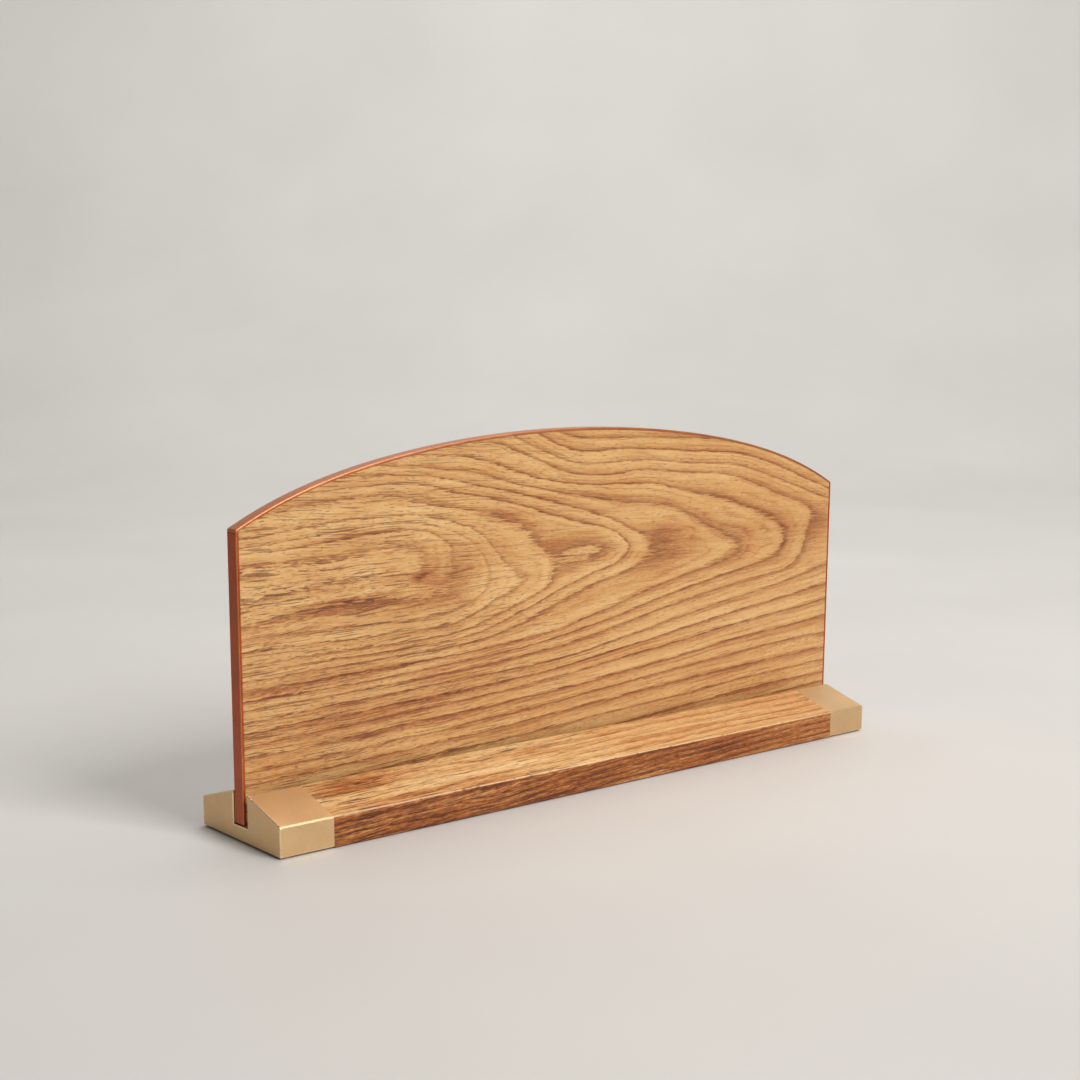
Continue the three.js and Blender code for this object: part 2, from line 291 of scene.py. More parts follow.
def satin_edging(name, colour, lighter, rough=0.4):
    """ABS edging with a satin copper-brown skin: faint lines along the strip and soft mottling."""
    t = Tree(name)
    v, x, y, z = t.object_mm()
    lines = t.noise(t.vec(t.mul(x, 0.22), t.mul(y, 3.2), t.mul(z, 0.22)), 1.0, 3.0, 0.6)
    fine = t.noise(v, 3.5, 2.0, 0.6)
    slow = t.noise(v, 0.07, 2.0)
    tint = t.ramp(t.add(lines, t.off(fine, 0.3), t.off(slow, 0.7)), [(0.28, colour), (0.74, lighter)])
    t.set(Base_Color=tint, Metallic=0.5, Roughness=t.add(rough, t.off(fine, 0.14), t.off(slow, 0.14)), IOR=1.5)
    t.bump(t.add(t.mul(lines, 0.7), t.mul(fine, 0.5)), 0.02)
    return t.mat


def rubber(name, shade):
    t = Tree(name)
    v, x, y, z = t.object_mm()
    a, b = t.noise(v, 2.6, 3.0, 0.6), t.noise(v, 0.4, 2.0)
    dust = t.step(t.noise(v, 1.3, 4.0, 0.7), 0.56, 0.72)
    t.set(Base_Color=t.mix(t.mul(dust, 0.35), t.ramp(t.add(a, t.off(b, 0.5)), [(0.3, srgb(shade, shade, shade)), (0.7, srgb(shade + 14, shade + 13, shade + 12))]),
                           srgb(110, 106, 100)),
          Roughness=t.math("MULTIPLY_ADD", a, 0.2, 0.68), IOR=1.5)
    t.bump(a, 0.03)
    return t.mat


def mill_aluminium(name):
    """A mill-finish extrusion: die lines along X."""
    t = Tree(name)
    v, x, y, z = t.object_mm()
    lines = t.noise(t.vec(t.mul(x, 0.02), t.mul(y, 3.0), t.mul(z, 3.0)), 1.0, 4.0, 0.65)
    spots = t.noise(v, 0.5, 3.0, 0.6)
    t.set(Base_Color=t.ramp(t.add(lines, t.off(spots, 0.3)), [(0.3, srgb(168, 170, 173)), (0.7, srgb(206, 207, 209))]), Metallic=1.0,
          Roughness=t.add(0.34, t.off(lines, 0.2), t.off(spots, 0.16)))
    t.bump(lines, 0.03)
    return t.mat


def fibreboard(name):
    t = Tree(name)
    v, x, y, z = t.object_mm()
    fibres = t.noise(t.vec(t.mul(x, 0.7), t.mul(y, 4.0), t.mul(z, 0.7)), 1.0, 5.0, 0.7, 0.6)
    fleck = t.noise(v, 2.2, 3.0, 0.7)
    t.set(Base_Color=t.ramp(t.add(fibres, t.off(fleck, 0.5)), [(0.3, srgb(128, 98, 66)), (0.5, srgb(166, 130, 90)), (0.72, srgb(190, 156, 114))]),
          Roughness=t.math("MULTIPLY_ADD", fleck, 0.15, 0.78), IOR=1.5)
    t.bump(fibres, 0.12)
    return t.mat


def screw_steel(name):
    """Zinc-plated steel: turning marks round each screw, from its own middle."""
    t = Tree(name)
    v, x, y, z = t.object_mm()
    dx, dy = t.math("SUBTRACT", t.math("ABSOLUTE", x), SEAM - 7.0), t.math("SUBTRACT", t.math("ABSOLUTE", y), 15.0)
    r = t.math("SQRT", t.add(t.mul(dx, dx), t.mul(dy, dy)))
    turned_marks = t.noise(t.vec(t.mul(r, 9.0), 0.4, t.mul(z, 5.0)), 1.0, 2.0)
    plate = t.noise(v, 1.6, 3.0)
    t.set(Base_Color=t.ramp(t.add(plate, t.off(turned_marks, 0.4)), [(0.3, srgb(150, 152, 156)), (0.7, srgb(205, 205, 202))]), Metallic=1.0,
          Roughness=t.add(0.3, t.off(turned_marks, 0.2), t.off(plate, 0.1)))
    t.bump(turned_marks, 0.02)
    return t.mat


def floor_paint(name):
    t = Tree(name)
    v, x, y, z = t.object_mm()
    a = t.noise(v, 0.004, 3.0)
    t.set(Base_Color=t.ramp(a, [(0.3, srgb(206, 204, 201)), (0.7, srgb(212, 210, 207))]), Roughness=t.math("MULTIPLY_ADD", a, 0.1, 0.55), IOR=1.4)
    return t.mat


M_PANEL = wood("panel_grain", GOLDEN, DARK, PIT, 2.0, brown=0.38, line=0.9, streaks=0.9)
M_BASE = wood("base_grain", HONEY, srgb(80, 36, 12), srgb(90, 44, 18), 31.0, brown=0.38, line=0.7, jag=(0.4, 0.5, 0.7), pores=0.66, pore_len=4.0,
              pore_w=0.24, fine=0.52, streaks=1.0)
M_GOLD = satin_gold("gold_satin", srgb(231, 197, 150), 0.52, 0.010)
M_CUT = bright_cut("gold_cut_edge", srgb(250, 226, 190))
# one copper edging in a shaded and a lit copy: the sides and bottom are darkened as painted shade, and the strip over
# the arch is paler as painted light falling from above
M_EDGING_PAINTED_SHADE = satin_edging("copper_edging_painted_shade", srgb(172, 68, 16), srgb(196, 86, 30))
M_EDGING_PAINTED_LIT_TOP = satin_edging("copper_edging_painted_lit_top", srgb(182, 108, 66), srgb(202, 128, 84))
# a paler copper copy for the rounded arrises of the edging: a painted highlight of light catching them
M_EDGE_PAINTED_HIGHLIGHT = satin_edging("copper_edging_painted_highlight", srgb(188, 112, 64), srgb(208, 138, 88), 0.36)
M_RUBBER = rubber("pad_rubber_black", 26)
M_STRIP = rubber("strip_rubber_black", 20)
M_ALU = mill_aluminium("profile_mill")
M_BOARD = fibreboard("board_raw")
M_STEEL = screw_steel("screw_zinc")

# ---------------------------------------------------------------- mesh helpers


def build(name, verts, faces, mats, face_mats=None, attrs=None, sharp=34.0, weighted=True):
    """One mesh object from points in mm, with outward normals."""
    me = bpy.data.meshes.new(name)
    me.from_pydata([(x * MM, y * MM, z * MM) for x, y, z in verts], [], faces)
    for m in mats:
        me.materials.append(m)
    if face_mats is not None:
        me.polygons.foreach_set("material_index", np.asarray(face_mats, np.int32))
    for k, values in (attrs or {}).items():
        a = me.attributes.new(k, "FLOAT", "POINT")
        a.data.foreach_set("value", np.asarray(values, np.float32))
    bm = bmesh.new()
    bm.from_mesh(me)
    bmesh.ops.recalc_face_normals(bm, faces=bm.faces)
    bm.to_mesh(me)
    bm.free()
    me.shade_smooth()
    me.set_sharp_from_angle(angle=math.radians(sharp))
    me.update()
    ob = bpy.data.objects.new(name, me)
    bpy.context.scene.collection.objects.link(ob)
    if weighted:
        w = ob.modifiers.new("flat_faces", "WEIGHTED_NORMAL")
        w.weight, w.keep_sharp = 50, True
    return ob


def rounded(points, radii, n=3):
    """A closed outline with corner i rounded to radii[i], and for each side of it whether it is part of a corner."""
    out, corner = [], []
    k = len(points)
    for i, (p, r) in enumerate(zip(points, radii)):
        p = np.array(p, float)
        if r <= 0:
            out.append(tuple(p))
            corner.append(0)
            continue
        a, b = np.array(points[i - 1], float) - p, np.array(points[(i + 1) % k], float) - p
        a, b = a / np.hypot(*a), b / np.hypot(*b)
        half = math.acos(max(-1.0, min(1.0, float(a @ b)))) / 2
        reach = r / math.tan(half)
        centre = p + (a + b) / np.hypot(*(a + b)) * (r / math.sin(half))
        s, e = p + a * reach - centre, p + b * reach - centre
        a0 = math.atan2(s[1], s[0])
        turn = (math.atan2(e[1], e[0]) - a0 + math.pi) % (2 * math.pi) - math.pi
        for j in range(n + 1):
            q = a0 + turn * j / n
            out.append((centre[0] + r * math.cos(q), centre[1] + r * math.sin(q)))
            corner.append(1 if j < n else 0)
    return out, corner


def inset(points, d):
    """The closed outline pulled in by d, with mitred corners."""
    p = np.array(points, float)
    if d == 0:
        return p
    area = 0.5 * np.sum(p[:, 0] * np.roll(p[:, 1], -1) - np.roll(p[:, 0], -1) * p[:, 1])
    e = np.roll(p, -1, 0) - p
    e /= np.hypot(e[:, 0], e[:, 1])[:, None]
    nrm = np.stack([-e[:, 1], e[:, 0]], -1) * (1 if area > 0 else -1)
    before = np.roll(nrm, 1, 0)
    return p + (before + nrm) * (d / (1 + np.sum(before * nrm, 1)))[:, None]


def rounded_ends(a, b, r, n=3):
    """(place, inset) of each section of a bar from a to b whose ends are rounded by r."""
    first = [(a + r * (1 - math.sin(q)), r * (1 - math.cos(q))) for q in [math.pi / 2 * (1 - i / n) for i in range(n + 1)]]
    last = [(b - (s - a), i) for s, i in reversed(first)]
    return first + last


def bar(name, points, radii, a, b, r, mats, sides=None, edge=1, n=3, extra=(), square=None):
    """A bar along X of one section, whose corners are rounded to radii and whose end arrises are rounded by r. The
    rounded parts take material number edge, and sides gives the numbers of the flat ones. square names an end, a or
    b, that is left sharp."""
    stations = rounded_ends(a, b, r, n) if r > 0 else [(a, 0.0), (b, 0.0)]
    if square == "a":
        stations = [(a, 0.0)] + stations[n + 1:]
    if square == "b":
        stations = stations[:n + 1] + [(b, 0.0)]
    at = next(i for i, s in enumerate(stations) if s[0] > (a + b) / 2)
    stations[at:at] = [(s, 0.0) for s in extra]
    verts, faces, fm = [], [], []
    for s, d in stations:
        outline, corner = rounded(inset(points, d), [max(q - d, 0.02) if q > 0 else 0 for q in radii], n)
        verts += [(s, u, v) for u, v in outline]
    m = len(outline)
    side_of, k = [], 0
    for q in radii:
        if q > 0:
            side_of += [None] * n
        side_of.append(k)
        k += 1
    for i in range(len(stations) - 1):
        on_end = stations[i][1] > 0 or stations[i + 1][1] > 0
        for j in range(m):
            k = (j + 1) % m
            faces.append((i * m + j, i * m + k, (i + 1) * m + k, (i + 1) * m + j))
            fm.append(edge if on_end or corner[j] else (sides[side_of[j]] if sides else 0))
    faces.append(tuple(range(m)))
    faces.append(tuple(range((len(stations) - 1) * m, len(stations) * m)))
    fm += [0, 0]
    return build(name, verts, faces, mats, fm)


def turned(name, profile, x, y, mats, segments=48, weighted=True, sharp=34.0):
    """A solid turned about the upright line through (x, y). The profile runs (radius, height) from axis to axis."""
    verts, faces = [], []
    inner = profile[1:-1]
    for r, h in inner:
        for i in range(segments):
            q = 2 * math.pi * i / segments
            verts.append((x + r * math.cos(q), y + r * math.sin(q), h))
    first, last = len(verts), len(verts) + 1
    verts += [(x, y, profile[0][1]), (x, y, profile[-1][1])]
    for k in range(len(inner) - 1):
        for i in range(segments):
            j = (i + 1) % segments
            faces.append((k * segments + i, k * segments + j, (k + 1) * segments + j, (k + 1) * segments + i))
    for i in range(segments):
        j = (i + 1) % segments
        faces.append((first, i, j))
        o = (len(inner) - 1) * segments
        faces.append((last, o + i, o + j))
    return build(name, verts, faces, mats, sharp=sharp, weighted=weighted)


def combine(ob, tool, operation):
    """Joins tool to ob or cuts it out of ob, and removes tool."""
    for o in (ob, tool):
        for m in list(o.modifiers):
            o.modifiers.remove(m)
    b = ob.modifiers.new("combine", "BOOLEAN")
    b.operation, b.object, b.solver = operation, tool, "EXACT"
    dg = bpy.context.evaluated_depsgraph_get()
    made = bpy.data.meshes.new_from_object(ob.evaluated_get(dg), preserve_all_data_layers=True, depsgraph=dg)
    ob.modifiers.remove(b)
    old, ob.data = ob.data, made
    made.name = ob.name
    bpy.data.meshes.remove(old)
    bpy.data.objects.remove(tool)


def finish_edges(ob, sharp=34.0):
    ob.data.shade_smooth()
    ob.data.set_sharp_from_angle(angle=math.radians(sharp))
    w = ob.modifiers.new("flat_faces", "WEIGHTED_NORMAL")
    w.weight, w.keep_sharp = 50, True


def place(ob, body, nodes):
    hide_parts(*nodes)
    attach(ob, body)
    return ob


def offset_line(pts, d):
    """An open line moved by d to its right, with mitred corners."""
    p = np.array(pts, float)
    e = np.diff(p, axis=0)
    e /= np.hypot(e[:, 0], e[:, 1])[:, None]
    e = np.vstack([e[:1], e, e[-1:]])
    n = np.stack([e[:, 1], -e[:, 0]], -1)
    a, b = n[:-1], n[1:]
    return p + (a + b) * (d / (1 + np.sum(a * b, 1)))[:, None]


def on_line(p, x):
    """Heights of a line at x, carried on straight past its ends."""
    x = np.asarray(x, float)
    z = np.interp(x, p[:, 0], p[:, 1])
    lo, hi = x < p[0, 0], x > p[-1, 0]
    z = np.where(lo, p[0, 1] + (x - p[0, 0]) * (p[1, 1] - p[0, 1]) / (p[1, 0] - p[0, 0]), z)
    return np.where(hi, p[-1, 1] + (x - p[-1, 0]) * (p[-1, 1] - p[-2, 1]) / (p[-1, 0] - p[-2, 0]), z)


# ---------------------------------------------------------------- base section

yf, ys = YF, YS
arris_y, arris_z = yf + EDGE_IN, EDGE_H + SLOPE * EDGE_IN
half_section = [(yf, 0.0), (yf, FACE_H), (arris_y, arris_z), (ys, LIP_H)]
section = half_section + [(ys, SLOT_FLOOR), (-ys, SLOT_FLOOR)] + [(-y, z) for y, z in reversed(half_section)]
section = [(y, z + LIFT) for y, z in section]


def chamber(gap):
    roof = offset_line([(yf, 0.0), (yf, EDGE_H), (ys, LIP_H)], WRAP_T + GLUE + WALL + gap)[1:]
    y1, z0 = ys - WALL - gap, BOTTOM_WALL + gap
    return [(roof[0][0], z0 + LIFT), (y1, z0 + LIFT), (y1, float(on_line(roof, y1)) + LIFT), (roof[0][0], roof[0][1] + LIFT)]


# ---------------------------------------------------------------- end caps

radii = [0.45, 0.14, 0.22, 0.28, 0.0, 0.0, 0.28, 0.22, 0.14, 0.45]

for side, s in (("left", -1), ("right", 1)):
    a, b = sorted((s * BASE_L / 2, s * SEAM))
    cap = bar(f"gold_cap_{side}", section, radii, a, b, 0.36, [M_GOLD, M_CUT], square="b" if s < 0 else "a")
    plug_front = chamber(PLUG_GAP)
    plug_rear = [(-y, z) for y, z in reversed(plug_front)]
    for plug in (plug_front, plug_rear):
        pa, pb = sorted((s * (SEAM + 3.0), s * (SEAM - PLUG_L)))
        combine(cap, bar("plug", plug, [0.5] * 4, pa, pb, 0.45, [M_GOLD, M_CUT], edge=0), "UNION")
    for sy in (-1, 1):
        z = LIFT
        combine(cap, turned("bore", [(0, z + 1.0), (1.5, z + 1.0), (1.5, z + 9.2), (0, z + 9.8)], s * (SEAM - 7.0), sy * 15.0, [M_GOLD, M_CUT], 32), "DIFFERENCE")
        combine(cap, turned("recess", [(0, z - 1.0), (5.3, z - 1.0), (5.3, z + 0.5), (0, z + 0.5)], s * (BASE_L / 2 - CAP_L / 2), sy * 16.5, [M_GOLD, M_CUT], 64), "DIFFERENCE")
    finish_edges(cap)
    place(cap, "base", [f"end_cap_{side}"])

# ---------------------------------------------------------------- wood figure


def tps(points, values, smooth):
    """A thin-plate spline through values at points, as a function."""
    p = np.asarray(points, float) / 100.0
    v = np.asarray(values, float)

    def kernel(a, b):
        d2 = ((a[:, None, :] - b[None, :, :]) ** 2).sum(-1)
        return 0.5 * d2 * np.log(d2 + 1e-12)

    n = len(p)
    k = kernel(p, p) + smooth * np.eye(n)
    q = np.hstack([np.ones((n, 1)), p])
    full = np.zeros((n + 3, n + 3))
    full[:n, :n], full[:n, n:], full[n:, :n] = k, q, q.T
    w = np.linalg.solve(full, np.r_[v, 0, 0, 0])

    def f(at):
        at = np.asarray(at, float) / 100.0
        out = np.empty(len(at))
        for i in range(0, len(at), 4000):
            c = at[i:i + 4000]
            out[i:i + 4000] = kernel(c, p) @ w[:n] + w[n] + c @ w[n + 1:]
        return out
    return f


def dense(line, gap=7.0):
    """More points along a drawn line, rounded at its bends."""
    p = np.array(line, float)
    for _ in range(2):
        q = [p[0]]
        for a, b in zip(p[:-1], p[1:]):
            q += [a * 0.75 + b * 0.25, a * 0.25 + b * 0.75]
        q.append(p[-1])
        p = np.array(q)
    s = np.r_[0, np.cumsum(np.hypot(*np.diff(p, axis=0).T))]
    t = np.linspace(0, s[-1], max(3, int(s[-1] / gap)))
    return np.stack([np.interp(t, s, p[:, 0]), np.interp(t, s, p[:, 1])], -1)


# growth-ring lines of the panel's cathedral figure, drawn as (x, z) in mm; the number counts outwards
RING_LINES = [
    (1, [(-148.5, 100.5), (-133.5, 100.5), (-80, 105), (-65.5, 101.5), (-60, 98.5), (-58.5, 94), (-59.5, 87), (-62, 82), (-70, 79), (-100.5, 81), (-149, 76.5)]),
    (2, [(-150, 102.5), (-90, 107), (-76, 107), (-68, 105.5), (-53, 100), (-47, 96), (-42.5, 90), (-40.5, 85), (-42.5, 80), (-47.5, 75.5), (-56, 72.5), (-65.5, 71), (-150, 71)]),
    (3, [(-150, 105.5), (-90, 110), (-74, 109), (-64, 107), (-56, 105), (-48, 101.5), (-41, 96.5), (-27, 81.5), (-28.5, 78), (-37.5, 74.5), (-53.5, 69), (-65.5, 67.5), (-150, 67)]),
    (4, [(-150, 112), (-120, 116), (-100, 117.5), (-83.5, 116.5), (-66, 112), (-46.5, 109), (-28, 103.5), (-22.5, 100), (-8.5, 87.5), (-9.5, 82), (-11.5, 78), (-20, 74), (-52, 64.5), (-64.5, 63), (-150, 62.5)]),
    (5, [(-120, 120), (-84, 121.5), (-70.5, 120), (-58, 116), (-42.5, 114), (-22, 109), (2, 101.5), (17, 98.5), (24, 95.5), (29, 92), (31, 89), (29, 85.5), (22, 82.5), (2, 78.5), (-36, 65), (-58, 61), (-150, 59.5)]),
    (6, [(-82, 123.5), (-70, 123), (-50, 119.5), (8, 106), (37, 94), (42, 91.5), (43.5, 87.5), (41, 84), (29, 80), (2, 74.5), (-26, 64), (-38, 61), (-50, 59), (-150, 57)]),
    (7, [(-69.5, 126.5), (-42, 122), (-28.5, 118), (-2, 112.5), (50, 105.5), (58, 103.5), (90, 89), (93.5, 86), (95, 83.5), (91.5, 81.5), (85, 79.5), (52, 73.5), (2, 61.5), (-22, 57.5), (-70, 54.5), (-150, 53)]),
    (8, [(-54, 129.5), (-46, 128), (-30, 123), (-10, 117.5), (2, 116), (42, 114.5), (50, 113), (66, 108.5), (85, 106), (91, 103.5), (112, 96.5), (118, 93.5), (121.5, 89.5), (123, 84.5), (120, 80.5), (115, 78.5), (92, 74), (60, 69.5), (10, 59.5), (-10, 56), (-70, 52), (-150, 49.5)]),
    (9, [(-36, 134), (-12, 124.5), (-2, 121), (10, 119.5), (21, 119), (36, 121), (58, 118), (90, 116), (120, 105), (135, 101), (139, 98.5), (140.5, 95), (135, 81), (131, 76), (126, 73), (119, 71.5), (78, 68), (0, 53.5), (-30, 51), (-70, 49), (-150, 46.5)]),
    (10, [(-28, 135.5), (-2, 125), (8, 123.5), (36, 124.5), (66, 121.5), (92, 120), (102, 117.5), (142, 104.5), (152, 102)]),
    (10, [(152, 72.5), (126, 67), (70, 59.5), (10, 49.5), (-10, 47.5), (-50, 45.5), (-150, 42.5)]),
    (11, [(-18, 136.5), (-10, 132.5), (2, 129), (16, 128.5), (30, 129), (86, 125.5), (100, 123), (120, 117), (152, 105.5)]),
    (11, [(152, 63.5), (100, 58.5), (10, 46), (-30, 42.5), (-150, 38.5)]),
    (12, [(152, 56.5), (100, 52), (-20, 39), (-150, 34)]),
    (13, [(152, 49), (90, 44.5), (20, 37.5), (-10, 35.5), (-70, 32), (-150, 29.5)]),
    (14, [(152, 41), (100, 39.5), (10, 32), (-70, 27), (-150, 25)]),
    (15, [(152, 34.5), (70, 31.5), (-70, 22.5), (-150, 20.5)]),
    (16, [(152, 28.5), (110, 27.5), (-10, 20.5), (-70, 18), (-150, 16)]),
    (17, [(152, 23.5), (100, 22), (0, 15.5), (-70, 13), (-150, 11.5)]),
    (18, [(152, 18.5), (60, 15), (-10, 11), (-150, 7.5)]),
]


def blobs(x, z, spots):
    """A sum of soft spots: (x, z, reach along x, reach along z, amount)."""
    out = np.zeros(len(x))
    for cx, cz, rx, rz, amount in spots:
        out += amount * np.exp(-((x - cx) / rx) ** 2 - ((z - cz) / rz) ** 2)
    return out


line_points = [(p, n) for n, line in RING_LINES for p in dense(line)]
ring_at = tps([p for p, _ in line_points], [n for _, n in line_points], 2e-4)


def panel_figure(x, z):
    """ring, fib, ink, tone and pore at points of the panel's face."""
    at = np.stack([x, z], -1)
    ring = ring_at(at)
    s = 0.07 * x + 0.00015 * x ** 2
    fib = z - s * np.tanh((88 - z) / 20)
    ink = 0.80 + blobs(x, z, [(90, 105, 60, 24, -0.14), (90, 72, 60, 10, -0.08), (-75, 92, 34, 13, -0.55), (-40, 86, 26, 16, -0.35), (-20, 112, 40, 10, 0.3), (-60, 52, 70, 18, 0.25),
                              (60, 50, 90, 22, 0.25), (-105, 103, 22, 4, 0.5), (-105, 80.5, 20, 4, 0.7)])
    tone = 0.25 + blobs(x, z, [
        # the knot and the smudge round it
        (-73.8, 86.4, 2.4, 1.2, 0.36), (-71.8, 88.2, 3.4, 0.8, 0.24), (-76.5, 85.4, 2.0, 0.8, 0.22), (-69.5, 85.6, 5.5, 2.8, 0.16), (-66, 83.2, 4, 1.0, 0.18), (-64, 91, 5, 1.2, 0.14), (-64, 84, 14, 8, 0.12), (-50, 90, 22, 9, 0.08),
        # dark streaks
        (-104, 81.2, 12, 0.7, 0.36), (-117, 78.9, 12, 1.0, 0.22), (-88, 82.4, 8, 0.5, 0.22), (-92, 78.0, 10, 3.0, 0.12), (-138, 68.6, 4, 0.5, 0.45), (-144, 92.6, 6, 1.2, 0.32), (-87, 90.4, 4, 1.0, 0.28),
        (-112, 89.0, 12, 1.4, 0.18), (-136, 51.6, 15, 0.9, 0.42), (-118, 54.0, 26, 1.6, 0.18), (-86, 55.0, 10, 0.8, 0.34), (-100, 38, 50, 5, 0.10),
        (-128, 22, 24, 1.0, 0.26), (-96, 30.5, 12, 0.8, 0.30), (-60, 47, 18, 1.0, 0.20), (-60, 41, 26, 2.2, 0.10), (-15, 45, 22, 1.2, 0.16),
        # lighter and darker fields
        (-110, 112, 40, 8, -0.07), (-20, 82, 26, 9, -0.09), (-125, 97, 20, 3, -0.06), (-100, 62, 50, 4, -0.05), (105, 55, 60, 5, -0.10), (60, 42, 60, 5, -0.05),
        (60, 92, 24, 8, 0.09), (137, 100, 20, 18, 0.09), (108, 92, 10, 6, 0.08), (20, 95, 22, 5, -0.06), (110, 30, 50, 8, 0.03), (-10, 30, 60, 4, 0.06),
        (-110, 48, 50, 20, 0.08), (-40, 50, 50, 14, 0.05), (100, 90, 60, 20, 0.03), (-40, 14, 150, 6, 0.10), (100, 20, 60, 5, 0.10)])
    pore = 0.15 + 0.75 / (1 + np.exp((x + 55) / 24)) + blobs(x, z, [(-70, 90, 30, 14, -0.4)])
    rag = 1 / (1 + np.exp((x + 35) / 26)) * (1 - 0.25 / (1 + np.exp((z - 88) / 6)) - 0.40 / (1 + np.exp((94 - z) / 4)))
    return {"ring": ring, "fib": fib, "ink": np.clip(ink, 0, 1.2), "tone": tone, "pore": pore, "rag": rag}


# ---------------------------------------------------------------- panel

mid, half = (X0 + X1) / 2, (X1 - X0) / 2
u = np.linspace(-1, 1, 601)
arch = np.stack([mid + half * u, APEX - (APEX - SIDE_TOP) * ((1 - A4 - A6) * u ** 2 + A4 * u ** 4 + A6 * u ** 6)], -1)
board_top = offset_line(arch, BAND_T + GLUE)
bx0, bx1, bz0 = X0 + BAND_T + GLUE, X1 - BAND_T - GLUE, FOOT + BAND_T + GLUE


def panel_face(name, y_out, y_in, mirrored):
    """One wood-grain facing: a fine grid on the seen side, a small arris round it, and a plain back."""
    nx, nz, arris = 204, 88, 0.12
    sign = 1 if y_in > y_out else -1

    def point(i, j, d):
        x = bx0 + d + (bx1 - bx0 - 2 * d) * i / nx
        top = float(on_line(board_top, x)) - d * 1.03
        return x, bz0 + d + (top - bz0 - d) * j / nz

    rim = [(i, 0) for i in range(nx)] + [(nx, j) for j in range(nz)] + [(i, nz) for i in range(nx, 0, -1)] + [(0, j) for j in range(nz, 0, -1)]
    verts, faces = [], []
    for j in range(nz + 1):
        for i in range(nx + 1):
            x, z = point(i, j, arris)
            verts.append((x, y_out, z))
    for j in range(nz):
        for i in range(nx):
            a = j * (nx + 1) + i
            faces.append((a, a + 1, a + nx + 2, a + nx + 1))
    ring0 = [j * (nx + 1) + i for i, j in rim]
    loops = [ring0]
    for y in (y_out + sign * arris, y_in):
        start = len(verts)
        for i, j in rim:
            x, z = point(i, j, 0.0)
            verts.append((x, y, z))
        loops.append(list(range(start, start + len(rim))))
    for a, b in zip(loops[:-1], loops[1:]):
        for k in range(len(rim)):
            m = (k + 1) % len(rim)
            faces.append((a[k], a[m], b[m], b[k]))
    faces.append(tuple(loops[-1]))
    v = np.array(verts)
    x = v[:, 0] if not mirrored else (X0 + X1) - v[:, 0]
    return build(name, verts, faces, [M_PANEL], attrs=panel_figure(x, v[:, 2]), sharp=30)


place(panel_face("panel_grain_front", Y_FRONT, Y_FRONT + FACE_T, False), "panel", ["panel_face_front"])
place(panel_face("panel_grain_rear", Y_BACK, Y_BACK - FACE_T, True), "panel", ["panel_face_rear"])


def top_edging(name, nx=180, trim=0.5, end=0.28):
    """The strip over the arch: its section is swept along the arch, with trimmed arrises and squared, eased ends."""
    xs = np.r_[rounded_x(X0, end), np.linspace(X0, X1, nx + 1)[1:-1], rounded_x(X1, -end)[::-1]]
    # section in (y, depth below the arch)
    sec, corner = rounded([(Y_FRONT, 0.0), (Y_BACK, 0.0), (Y_BACK, BAND_T), (Y_FRONT, BAND_T)], [trim, trim, 0.0, 0.0], 3)
    verts, faces, fm = [], [], []
    m = len(sec)
    depths = sorted({round(d, 6) for _, d in sec} | {0.0, BAND_T})
    lines = {}
    for x in xs:
        d_in = inset_at_end(x, X0, X1, end)
        for (y, d) in inset(sec, d_in):
            key = round(float(d), 4)
            if key not in lines:
                lines[key] = offset_line(arch, key) if key > 0 else arch
            verts.append((x, y, float(on_line(lines[key], x))))
    n = len(xs)
    for i in range(n - 1):
        on_end = inset_at_end(xs[i], X0, X1, end) > 0 or inset_at_end(xs[i + 1], X0, X1, end) > 0
        for j in range(m):
            k = (j + 1) % m
            faces.append((i * m + j, i * m + k, (i + 1) * m + k, (i + 1) * m + j))
            # the trimmed arrises and eased ends take the paler copy, a painted highlight
            fm.append(1 if corner[j] or on_end else 0)
    faces += [tuple(range(m)), tuple(range((n - 1) * m, n * m))]
    fm += [0, 0]
    return build(name, verts, faces, [M_EDGING_PAINTED_LIT_TOP, M_EDGE_PAINTED_HIGHLIGHT], fm)


def rounded_x(at, r, n=3):
    return np.array([at + r * (1 - math.sin(q)) for q in [math.pi / 2 * (1 - i / n) for i in range(n + 1)]])


def inset_at_end(x, a, b, r):
    d = min(x - a, b - x)
    if d >= r:
        return 0.0
    return r - math.sqrt(max(0.0, r * r - (r - d) ** 2))


place(top_edging("edging_top"), "panel", ["edge_band_top"])


def side_edging(name, xa, xb, outer_left, trim=0.34):
    """The upright strip at one end, cut to the slope of the strip over it."""
    radii = [trim, 0.0, 0.0, trim] if outer_left else [0.0, trim, trim, 0.0]
    sec, corner = rounded([(xa, Y_FRONT), (xb, Y_FRONT), (xb, Y_BACK), (xa, Y_BACK)], radii, 3)
    m = len(sec)
    levels = [0.0, 0.004, 0.02, 0.1] + [0.1 + 0.85 * (i + 1) / 12 for i in range(12)] + [1.0]
    verts, faces, fm = [], [], []
    for t in levels:
        for x, y in sec:
            top = float(on_line(board_top, x))
            verts.append((x, y, FOOT + (top - FOOT) * t))
    for i in range(len(levels) - 1):
        for j in range(m):
            k = (j + 1) % m
            faces.append((i * m + j, i * m + k, (i + 1) * m + k, (i + 1) * m + j))
            # the trimmed arrises take the paler copy, a painted highlight
            fm.append(1 if corner[j] else 0)
    faces += [tuple(range(m)), tuple(range((len(levels) - 1) * m, len(levels) * m))]
    fm += [0, 0]
    return build(name, verts, faces, [M_EDGING_PAINTED_SHADE, M_EDGE_PAINTED_HIGHLIGHT], fm)


